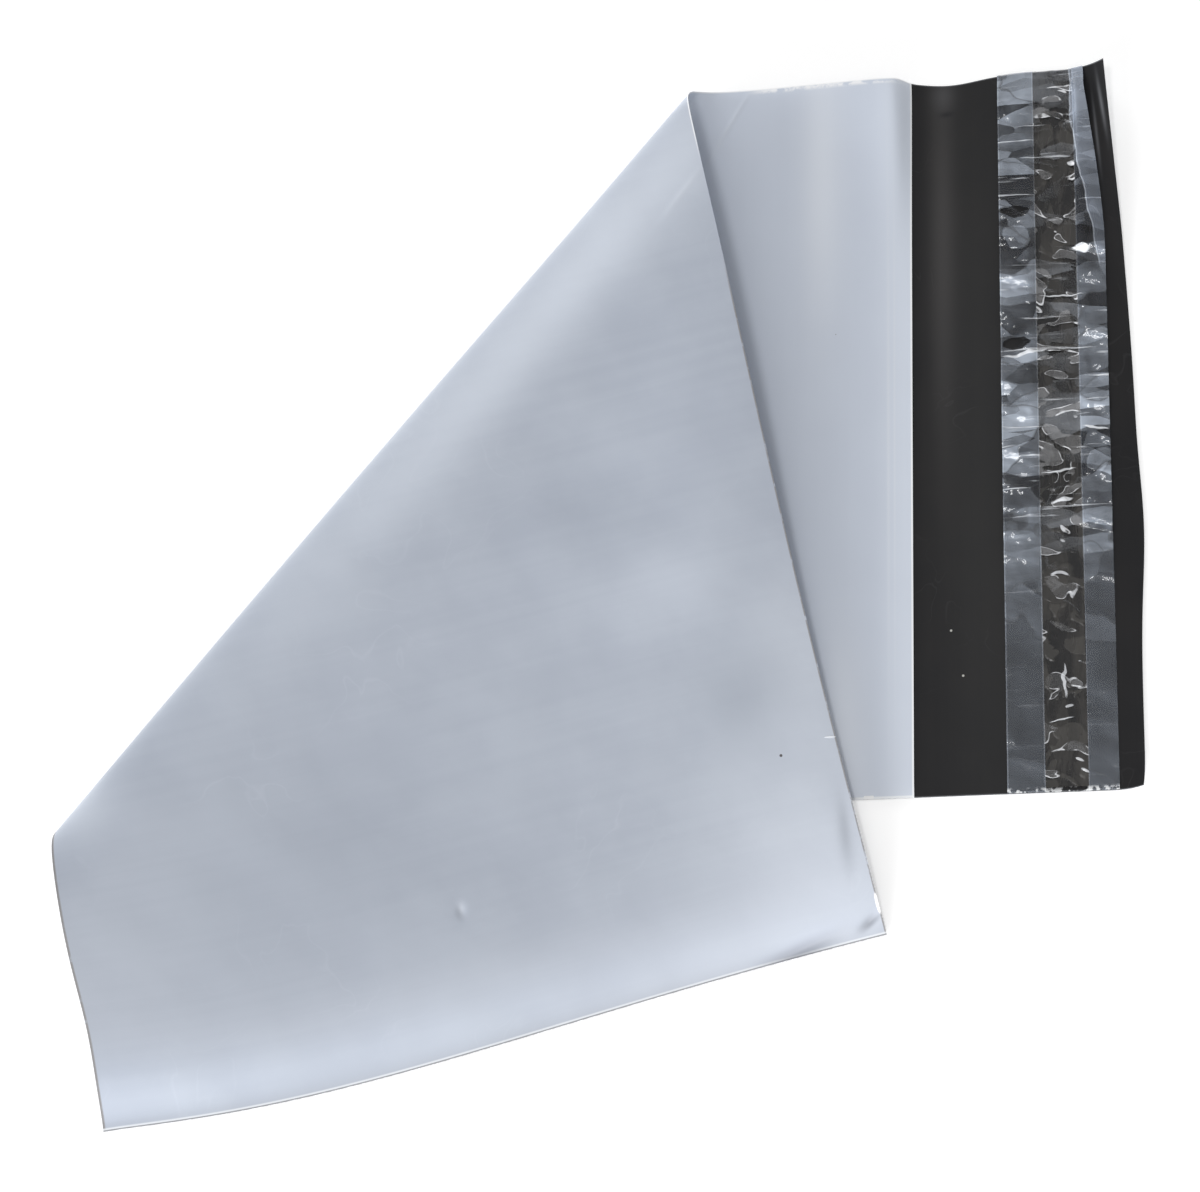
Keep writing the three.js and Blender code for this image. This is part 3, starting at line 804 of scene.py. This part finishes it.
def outside_finish():
    """Pearl grey film: soft cloud and draw lines, cut edges and marks, with painted light and
    painted shade in patches, painted highlights along the welds, mouth, bottom and creases, and
    darker weld lines.
    """
    f = Finish("film_outside_grey", Roughness=0.36)
    cloud = f.use(FILM_CLOUD, place=f.flat)
    tint = f.layer(colour(167, 174, 187), f.step(cloud["Tone"], 0.36, 0.64), colour(175, 182, 194))
    for patch, shade, amount in FOLDED_PAINTED_LIGHT:
        tint = f.layer(tint, f.spot(*patch), shade, amount)
    # Painted light over the pouch's front, lifting the shade beside the folded part
    tint = f.layer(tint, f.step(f.x, -53 * MM, -45 * MM), colour(224, 232, 246), 0.62)
    for patch, shade, amount in FRONT_PAINTED_LIGHT:
        tint = f.layer(tint, f.spot(*patch), shade, amount)

    # The hem at the mouth: painted light over its curl, with two painted highlight lines along it
    # and a white cut edge
    broken = f.noise(f.flat, 330.0, 3.0, 0.6)
    tint = f.layer(tint, f.step(f.x, -9 * MM, -1.5 * MM), PAINTED_LIGHT, 0.5)
    for x, half in ((-4.7, 0.3), (-3.5, 0.2)):
        tint = f.layer(tint, f.spot(x, 78, half, 48), colour(222, 227, 235), 0.45)
    tint = f.layer(tint, f.step(f.x, -0.45 * MM, -0.2 * MM), colour(248, 250, 252), 0.95)

    # A painted highlight: the far side weld catching the light in broken white dashes
    far = f.sums("SUBTRACT", BAG_WIDTH * MM, f.y)
    weld_glints = f.sums("MULTIPLY", f.step(far, 1.5 * MM, 0.5 * MM), f.step(broken, 0.4, 0.56))
    weld_glints = f.sums("MULTIPLY", weld_glints, f.spot(-17, BAG_WIDTH, 15, 8, hard=True))
    tint = f.layer(tint, weld_glints, colour(250, 251, 253), 0.95)

    # Both side welds: a thin painted highlight near the mouth, darker in broken lines where the bag
    # is folded over
    near_line = f.step(f.y, 0.6 * MM, 0.3 * MM)
    far_line = f.step(far, 0.34 * MM, 0.16 * MM)
    either_line = f.sums("MAXIMUM", near_line, far_line)
    by_mouth = f.step(f.x, -66 * MM, -58 * MM)
    tint = f.layer(tint, f.sums("MULTIPLY", either_line, by_mouth), colour(246, 248, 250), 0.85)
    folded = f.step(f.x, -84 * MM, -100 * MM)
    dark_weld_line = f.sums("MULTIPLY", either_line, folded)
    dark_weld_line = f.sums("MULTIPLY", dark_weld_line, f.step(broken, 0.3, 0.46))
    tint = f.layer(tint, dark_weld_line, colour(118, 112, 106), 0.75)
    nicks = f.use(DUST_SPECKS, place=f.flat, scale=210.0, size=0.2, amount=0.24)["Speck"]
    nicks = f.sums("MULTIPLY", nicks, f.step(f.y, 0.75 * MM, 0.6 * MM))
    tint = f.layer(tint, nicks, colour(250, 250, 250), 0.9)

    # The closed bottom: a painted highlight in a white line, over a thin dark one
    from_bottom = f.sums("ADD", f.x, POUCH_LENGTH * MM)
    tint = f.layer(tint, f.step(from_bottom, 0.75 * MM, 0.4 * MM), colour(240, 243, 247), 0.7)
    tint = f.layer(tint, f.step(from_bottom, 0.3 * MM, 0.2 * MM), colour(104, 104, 108), 0.8)

    heights = []
    # Marks, with their painted shade and painted highlights
    for patch, shade, amount, height in MARKS_AND_PAINTED_LIGHT:
        mark_or_painted_light = f.spot(*patch)
        tint = f.layer(tint, mark_or_painted_light, shade, amount)
        if height:
            heights.append((mark_or_painted_light, height))

    # Long creases that cross the fold's far end, each with a painted highlight along it
    streaks = f.sums("MAXIMUM", f.spot(-71, 147.5, 0.7, 6.5, -42), f.spot(-37, 144, 0.55, 8.5, -29))
    tint = f.layer(tint, streaks, colour(214, 220, 230), 0.3)
    creases = f.use(FINE_CREASES, place=f.flat, scale=70.0, width=0.012)["Line"]
    tint = f.layer(tint, creases, colour(208, 214, 224), 0.1)
    dust = f.use(DUST_SPECKS, place=f.flat, scale=130.0, size=0.025, amount=0.12)["Speck"]
    tint = f.layer(tint, dust, colour(120, 118, 118), 0.55)
    f.feed(Base_Color=tint, Roughness=f.sums("MULTIPLY_ADD", cloud["Tone"], 0.2, 0.27))

    grain = f.noise(f.flat, 2600.0, 1.0, 0.6)
    f.relief((cloud["Height"], 0.5), (grain, 0.004), (streaks, 0.06), *heights,
             (f.spot(-212, 166, 32, 29), 2.2))
    return f.material


def inside_finish():
    """Black film: painted light and a painted sheen beside the mouth, a painted highlight at the
    curled corner, draw lines, smudges, lint and pale cut edges.
    """
    f = Finish("film_inside_black", Roughness=0.42, Specular_IOR_Level=0.2)
    cloud = f.use(FILM_CLOUD, place=f.flat)
    tint = f.layer(colour(14, 14, 17), f.step(cloud["Tone"], 0.36, 0.64), colour(24, 23, 24))
    # Painted light in a broad band off the mouth, a painted sheen beside it and a painted light
    # patch by the smudge
    tint = f.layer(tint, f.spot(13, 76, 7.5, 90), colour(52, 52, 52), 0.4)
    sheen = f.spot(6.0, 116, 2.6, 40)
    tint = f.layer(tint, sheen, colour(84, 82, 82), 0.42)
    tint = f.layer(tint, f.spot(6.4, 150, 2.2, 3.4), colour(84, 84, 86), 0.4)
    smudge = f.spot(7.2, 145.6, 1.5, 0.7, 8)
    tint = f.layer(tint, smudge, colour(22, 22, 26), 0.7)
    # Painted highlight along the flap's curled corner
    corner = f.sums("MAXIMUM", f.spot(38.4, 143, 0.4, 5.5, 6), f.spot(36.9, 137, 0.3, 6.5, 4))
    tint = f.layer(tint, corner, colour(112, 114, 118), 0.45)
    scuffs = f.use(FINE_CREASES, place=f.flat, scale=120.0, width=0.014)["Line"]
    tint = f.layer(tint, scuffs, colour(92, 92, 94), 0.1)
    lint = f.use(DUST_SPECKS, place=f.flat, scale=150.0, size=0.035, amount=0.09)["Speck"]
    tint = f.layer(tint, lint, colour(150, 150, 146), 0.5)
    for x, y in ((7.1, 33.0), (9.3, 23.8)):
        tint = f.layer(tint, f.spot(x, y, 0.24, 0.24, hard=True), colour(196, 196, 190), 0.85)
    from_side = f.sums("MINIMUM", f.y, f.sums("SUBTRACT", BAG_WIDTH * MM, f.y))
    tint = f.layer(tint, f.step(from_side, 0.3 * MM, 0.14 * MM), colour(128, 130, 134), 0.5)
    f.feed(Base_Color=tint, Roughness=f.sums("MULTIPLY_ADD", cloud["Tone"], 0.24, 0.32))
    grain = f.noise(f.flat, 2200.0, 1.0, 0.6)
    f.relief((cloud["Height"], 0.5), (grain, 0.005), (scuffs, 0.02), (smudge, -0.05),
             (corner, 0.1))
    return f.material


def edge_finish():
    """The raw cut edge of the film: whitish, uneven and a little torn."""
    f = Finish("cut_film_edge", Roughness=0.5)
    uneven = f.noise(f.flat, 900.0, 3.0, 0.6)
    tint = f.layer(colour(150, 152, 156), f.step(uneven, 0.35, 0.65), colour(232, 234, 238))
    f.feed(Base_Color=tint, Roughness=f.sums("MULTIPLY_ADD", uneven, 0.3, 0.35))
    f.relief((uneven, 0.02))
    return f.material


def adhesive_finish():
    """Hot melt: brown-grey and glossy, with drawn streaks, blobs and small air bubbles."""
    f = Finish("hot_melt_adhesive", Roughness=0.25, Specular_IOR_Level=0.35)
    streaky = f.noise(f.stretched(f.flat, 260.0, 60.0), 1.0, 4.0, 0.6, 0.5)
    tint = f.layer(colour(15, 15, 17), f.step(streaky, 0.38, 0.66), colour(50, 48, 46))
    blobs = f.step(f.noise(f.flat, 230.0, 2.0, 0.4, 0.8), 0.54, 0.6)
    tint = f.layer(tint, blobs, colour(72, 70, 67), 0.5)
    bubbles = f.use(DUST_SPECKS, place=f.flat, scale=420.0, size=0.22, amount=0.16)["Speck"]
    tint = f.layer(tint, bubbles, colour(30, 29, 30), 0.6)
    f.feed(Base_Color=tint, Roughness=f.sums("MULTIPLY_ADD", streaky, 0.3, 0.12))
    f.relief((streaky, 0.12), (blobs, 0.08), (bubbles, -0.04))
    return f.material


# Painted reflections on the crumpled liner, in pale and dark facets, and painted highlights on its
# sharp ridges: place, half widths and turn
LINER_PALE_REFLECTIONS = (
    (20.7, 115.4, 2.7, 2.7, 8), (21.6, 88.6, 4.7, 1.5, 10), (29.1, 133.8, 3.5, 1.7, 4),
    (35.8, 66.3, 2.4, 2.9, -30), (29.6, 36.3, 1.6, 3.2, 15), (30.6, 24.4, 1.1, 5.5, 0),
    (27.7, 13.7, 2.5, 1.5, 20),
)
LINER_DARK_REFLECTIONS = (
    (28.6, 141.7, 3.1, 2.1, 0), (27.4, 62.9, 3.3, 1.1, 0), (20.2, 120.9, 2.7, 1.3, -8),
    (20.2, 91.9, 2.7, 1.3, 0),
)
LINER_RIDGE_HIGHLIGHTS = (
    (33.3, 111.8, 2.2, 0.95, -12), (29.5, 101.7, 4.4, 0.19, 0), (21.9, 89.8, 4.4, 0.42, 8),
    (28.1, 64.4, 3.6, 0.23, 2), (28.8, 58.3, 2.5, 0.46, 10), (35.2, 73.0, 2.5, 0.32, -12),
    (27.8, 43.4, 2.2, 0.38, -8), (28.4, 22.0, 0.47, 3.8, 0), (29.3, 16.8, 0.73, 0.38, 0),
    (27.4, 14.2, 2.5, 0.21, 10),
)


def liner_finish():
    """Clear glossy film: hazy where it stands free, clearer where the adhesive wets it, with
    painted reflections in its facets and painted highlights on its ridges, streaks and rims.
    """
    f = Finish("clear_liner_film", Roughness=0.12, Coat_Weight=1.0, Coat_Roughness=0.04)
    band_start, band_end = ADHESIVE_FROM * MM, (ADHESIVE_FROM + ADHESIVE_WIDTH) * MM
    over_band = f.sums("MULTIPLY", f.step(f.x, band_start - 0.08 * MM, band_start + 0.08 * MM),
                       f.step(f.x, band_end + 0.08 * MM, band_end - 0.08 * MM))
    lively = f.step(f.y, 36 * MM, 58 * MM)
    bent = f.noise(f.flat, 140.0, 2.0, 0.5)
    # The facets' tones are painted reflections, with dark painted lines at their borders
    wide = f.node("ShaderNodeVectorMath", {0: f.stretched(f.flat, 62.0, 105.0, 0.35), 1: f.node(
        "ShaderNodeTexNoise", {"Vector": f.flat, "Scale": 90.0}).outputs["Color"]}, operation="ADD")
    wide = wide.outputs["Vector"]
    cells = f.node("ShaderNodeTexVoronoi", {"Vector": wide, "Scale": 1.0})
    facet_reflection = f.node("ShaderNodeSeparateColor", {"Color": cells.outputs["Color"]}).outputs["Red"]
    dark_facet_borders = f.node("ShaderNodeTexVoronoi", {"Vector": wide, "Scale": 1.0},
                     feature="DISTANCE_TO_EDGE").outputs["Distance"]
    dark_facet_borders = f.step(dark_facet_borders, 0.03, 0.01)
    narrow = f.node("ShaderNodeTexVoronoi", {
        "Vector": f.stretched(f.flat, 105.0, 330.0, 0.12), "Scale": 1.0})
    sliver_reflection = f.node("ShaderNodeSeparateColor", {"Color": narrow.outputs["Color"]}).outputs["Red"]
    sliver_reflection = f.sums("MULTIPLY", f.sums("SUBTRACT", sliver_reflection, 0.5), lively)
    tone = f.sums("MULTIPLY_ADD", f.sums("SUBTRACT", facet_reflection, 0.5),
                  f.sums("MULTIPLY_ADD", lively, 0.45, 0.3), 0.5)
    tone = f.sums("MULTIPLY_ADD", sliver_reflection, 0.75, tone)
    tone = f.sums("MULTIPLY_ADD", f.sums("SUBTRACT", bent, 0.5),
                  f.sums("MULTIPLY_ADD", lively, 0.5, 0.5), tone)
    shove = f.node("ShaderNodeTexNoise", {"Vector": f.flat, "Scale": 330.0, "Detail": 1.0})
    shoved = f.node("ShaderNodeVectorMath", {
        0: shove.outputs["Color"], 1: (0.0022, 0.0016, 0.0), 2: f.flat}, operation="MULTIPLY_ADD")
    shoved = f.node("ShaderNodeVectorMath", {
        0: shoved.outputs["Vector"], 1: (-0.0011, -0.0008, 0.0)}, operation="ADD").outputs["Vector"]
    # Painted reflections in pale and dark facets, and painted highlights on the ridges
    pale = f.patches(LINER_PALE_REFLECTIONS, shoved, 0.34, 0.44)
    dark_reflections = f.patches(LINER_DARK_REFLECTIONS, shoved, 0.34, 0.44)
    ridge_highlights = f.patches(LINER_RIDGE_HIGHLIGHTS, shoved, 0.3, 0.6)
    tone = f.sums("MULTIPLY_ADD", pale, 0.34, tone)
    tone = f.sums("MULTIPLY_ADD", dark_reflections, -0.5, tone)
    outer_margin = f.sums("MULTIPLY", f.step(f.x, band_end, band_end + 0.3 * MM), lively)
    tone = f.sums("MULTIPLY_ADD", outer_margin, -0.13, tone)
    tint = f.layer(colour(62, 68, 78), tone, colour(182, 192, 206))
    tint = f.layer(tint, over_band, colour(104, 102, 100), 0.6)
    tint = f.layer(tint, dark_facet_borders, colour(30, 33, 40), 0.5)
    # Painted highlights in long streaks along the crumples
    streaks = f.step(f.noise(f.stretched(f.flat, 60.0, 900.0, 0.1), 1.0, 3.0, 0.55, 0.6), 0.6, 0.72)
    streaks = f.sums("MULTIPLY", streaks, f.sums("MULTIPLY_ADD", lively, 0.85, 0.15))
    tint = f.layer(tint, streaks, colour(236, 240, 246), 0.8)

    # Blisters over the adhesive: pale inside, with a painted highlight along a thin rim
    blister = f.noise(f.stretched(f.flat, 115.0, 190.0, 0.3), 1.0, 1.0, 0.4, 1.4)
    from_rim = f.sums("ABSOLUTE", f.sums("SUBTRACT", blister, 0.585))
    rim_highlights = f.sums("MULTIPLY", f.step(from_rim, 0.016, 0.006), over_band)
    broken = f.step(f.noise(f.flat, 260.0, 2.0), 0.44, 0.56)
    rim_highlights = f.sums("MULTIPLY", rim_highlights, broken)
    puckers = f.sums("MULTIPLY", f.step(blister, 0.58, 0.6), over_band)
    tint = f.layer(tint, puckers, colour(150, 150, 152), 0.7)
    tint = f.layer(tint, rim_highlights, colour(228, 230, 234), 0.9)
    tint = f.layer(tint, ridge_highlights, colour(236, 239, 244), 0.9)

    # The outer margin's standing fold: a painted pale reflection on the leaf, with a painted
    # highlight on the crease on its inner side
    below = f.sums("MAXIMUM", f.sums("SUBTRACT", 139 * MM, f.y), 0.0)
    crease = f.sums("SUBTRACT", f.x, f.sums("MULTIPLY_ADD", below, 0.165, 31.7 * MM))
    crease = f.sums("MULTIPLY_ADD", f.sums("SUBTRACT", bent, 0.5), 1.6 * MM, crease)
    by_fold = f.step(f.y, 107 * MM, 109 * MM)
    leaf_reflection = f.sums("MULTIPLY", f.step(crease, -0.1 * MM, 0.1 * MM), by_fold)
    crest = f.step(f.sums("ABSOLUTE", crease), 0.2 * MM, 0.08 * MM)
    crest = f.sums("MULTIPLY", crest, by_fold)
    tint = f.layer(tint, leaf_reflection, colour(158, 168, 184), 0.75)
    tint = f.layer(tint, crest, colour(196, 204, 216), 0.8)
    ends = f.sums("MULTIPLY", f.step(f.y, 1.2 * MM, 0.5 * MM),
                  f.step(f.noise(f.flat, 700.0, 2.0), 0.46, 0.56))
    tint = f.layer(tint, ends, colour(244, 246, 248), 0.9)
    haze = f.sums("MULTIPLY_ADD", lively, 0.3, 0.1)
    haze = f.sums("MULTIPLY_ADD", tone, haze, f.sums("MULTIPLY_ADD", lively, 0.07, 0.1))
    haze = f.sums("MULTIPLY_ADD", over_band, -0.31, haze)
    for mask, strength in ((streaks, 0.4), (puckers, 0.24), (rim_highlights, 0.7), (ends, 0.5), (leaf_reflection, 0.12),
                           (crest, 0.16), (dark_facet_borders, 0.12), (ridge_highlights, 0.6), (pale, 0.1),
                           (dark_reflections, -0.08)):
        haze = f.sums("MULTIPLY_ADD", mask, strength, haze)
    for edge, strength in ((band_start, 0.35), (band_end, 0.2)):
        line = f.step(f.sums("ABSOLUTE", f.sums("SUBTRACT", f.x, edge)), 0.2 * MM, 0.08 * MM)
        haze = f.sums("MULTIPLY_ADD", line, strength, haze)
    inner_rim = f.step(f.x, (MOUTH_TO_LINER + 0.35) * MM, (MOUTH_TO_LINER + 0.1) * MM)
    rim = f.sums("MAXIMUM", inner_rim, f.step(f.y, 0.4 * MM, 0.15 * MM))
    haze = f.sums("MULTIPLY_ADD", rim, 0.35, haze)
    f.feed(Base_Color=tint, Alpha=haze, Roughness=f.sums("MULTIPLY_ADD", bent, 0.16, 0.04))
    wrinkles = f.noise(f.stretched(f.flat, 220.0, 620.0), 1.0, 3.0, 0.55, 0.5)
    f.relief((wrinkles, 0.1), (streaks, 0.05), (puckers, 0.08), (pale, 0.06), (ridge_highlights, 0.12))
    return f.material


# Studio

CAMERA_PLACE = np.array([76.44, -218.32, 630.38])
CAMERA_LOOK = Vector((-0.19605, 0.38377, -0.90238))
CAMERA_UP = Vector((0.05034, 0.92296, 0.38159))
FOCAL_PIXELS = 3600.0
IMAGE_WIDTH = 1200.0
AXIS_OFFSET = (2.63, -29.34)
SENSOR_WIDTH = 36.0


def make_camera():
    """Camera at the photograph's place: its axes from the look and up directions."""
    data = bpy.data.cameras.new("photo_camera")
    data.sensor_width = SENSOR_WIDTH
    data.sensor_fit = "HORIZONTAL"
    data.lens = FOCAL_PIXELS / IMAGE_WIDTH * data.sensor_width
    data.shift_x = -AXIS_OFFSET[0] / IMAGE_WIDTH
    data.shift_y = AXIS_OFFSET[1] / IMAGE_WIDTH
    data.clip_start = 0.01
    camera = bpy.data.objects.new("photo_camera", data)
    bpy.context.collection.objects.link(camera)
    look = CAMERA_LOOK.normalized()
    right = look.cross(CAMERA_UP).normalized()
    up = right.cross(look)
    turn = Matrix((right, up, -look)).transposed().to_4x4()
    place = Vector((CAMERA_PLACE + SHIFT) * MM)
    camera.matrix_world = Matrix.Translation(place) @ turn
    bpy.context.scene.camera = camera


# The level of the plain sky, and the floor's own share of white where it is seen directly.
# Lamps by place and size in metres and power in watts, each turned to the bag
SKY_LIGHT = 0.49
FLOOR_GLOW = 0.34
FLOOR_HALF_WIDTH = 1.5
FLOOR_DROP = 0.0002
WINDOW_FRONT = {"place": (-1.14, -1.97, 0.23), "size": (1.6, 0.42), "power": 118.0}
WINDOW_BACK = {"place": (-0.97, 2.07, 0.25), "size": (1.4, 0.46), "power": 44.0}
OVERHEAD = {"place": (-0.22, -0.02, 1.08), "size": (0.24, 0.24), "power": 1.9}


def area_light(name, place, size, power):
    data = bpy.data.lights.new(name, "AREA")
    data.shape = "RECTANGLE"
    data.size, data.size_y = size
    data.energy = power
    light = bpy.data.objects.new(name, data)
    bpy.context.collection.objects.link(light)
    direction = -Vector(place).normalized()
    light.matrix_world = (Matrix.Translation(Vector(place))
                          @ direction.to_track_quat("-Z", "Y").to_matrix().to_4x4())
    return light


def seen_directly(nodes):
    """1 where the camera sees a surface, also in a reflection or through clear film."""
    path = nodes.node("ShaderNodeLightPath").outputs
    return nodes.sums("MAXIMUM", path["Is Camera Ray"],
                      nodes.sums("MAXIMUM", path["Is Glossy Ray"], path["Is Transmission Ray"]))


def make_studio():
    """A white floor that keeps the bag's shadow, a plain sky and three soft lamps."""
    floor_mesh = bpy.data.meshes.new("studio_floor")
    half = FLOOR_HALF_WIDTH
    floor_mesh.from_pydata([(-half, -half, 0), (half, -half, 0), (half, half, 0),
                            (-half, half, 0)], [], [(0, 1, 2, 3)])
    floor = bpy.data.objects.new("studio_floor", floor_mesh)
    bpy.context.collection.objects.link(floor)
    floor.location.z = -FLOOR_DROP
    f = Finish("studio_floor_white", Roughness=0.9, Base_Color=(0.9, 0.9, 0.9, 1.0),
               Emission_Color=(1.0, 1.0, 1.0, 1.0))
    f.feed(Emission_Strength=f.sums("MULTIPLY", seen_directly(f), FLOOR_GLOW))
    floor_mesh.materials.append(f.material)
    world = bpy.data.worlds.new("studio_world")
    bpy.context.scene.world = world
    world.use_nodes = True
    sky = world.node_tree.nodes["Background"]
    sky.inputs["Color"].default_value = (1, 1, 1, 1)
    nodes = Nodes(world.node_tree)
    nodes.give(sky.inputs["Strength"], nodes.sums("MULTIPLY_ADD", seen_directly(nodes),
                                                  1 - SKY_LIGHT, SKY_LIGHT))
    front = area_light("window_front", **WINDOW_FRONT)
    back = area_light("window_back", **WINDOW_BACK)
    front.visible_glossy = back.visible_glossy = False  # low lamps would glare along the film
    area_light("overhead", **OVERHEAD)
    bpy.context.scene.view_settings.view_transform = "Standard"


make_camera()
make_studio()
film = make_bag_film(outside_finish(), inside_finish(), edge_finish())
adhesive = make_adhesive(adhesive_finish())
liner = make_liner(liner_finish())

for piece, node, slot in ((film, "bag_film", "film_outside"),
                          (adhesive, "adhesive_strip", "adhesive"),
                          (liner, "release_liner", "liner_film")):
    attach(piece, "root")
    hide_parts(node)
